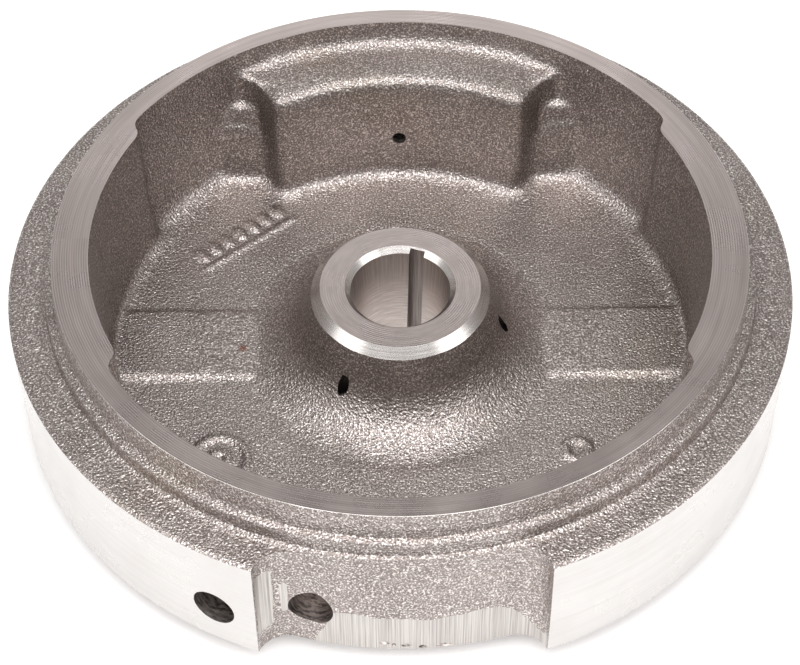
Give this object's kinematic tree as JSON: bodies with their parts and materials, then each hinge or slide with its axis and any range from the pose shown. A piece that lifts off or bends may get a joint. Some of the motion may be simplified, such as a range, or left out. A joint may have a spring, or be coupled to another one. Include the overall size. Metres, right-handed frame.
{
  "type": "flywheel",
  "caption": "Cast-iron flywheel of a small engine: cup-shaped rim with a notch, tapered keyed bore, and a magnet set in the rim.",
  "frame": {"origin": "on the crankshaft axis, in the hub's fan-side face, which is the lowest face of the part", "axes": "+Z along the crankshaft axis, out of the fan side and towards the engine; +Y towards the magnet set; -Y towards the notch in the rim"},
  "size_m": [0.2, 0.1939, 0.0505],
  "materials": {
    "cast_iron": "shot-blasted casting, machined on the outer surface, faces and bore",
    "brass_sheet": "rolled",
    "magnet_alloy": "ground",
    "aluminium": "turned",
    "pole_steel": "turned",
    "screw_steel": "blackened"
  },
  "bodies": {
    "root": {"flywheel_casting": "cast_iron", "magnet_backing_plate": "brass_sheet", "ignition_magnet": "magnet_alloy", "magnet_spacer": "aluminium", "pole_shoe_leading": "pole_steel", "pole_shoe_trailing": "pole_steel", "magnet_retaining_screw": "screw_steel", "pole_shoe_screw_1": "screw_steel", "pole_shoe_screw_2": "screw_steel", "pole_shoe_screw_3": "screw_steel", "pole_shoe_screw_4": "screw_steel"}
  },
  "joints": []
}
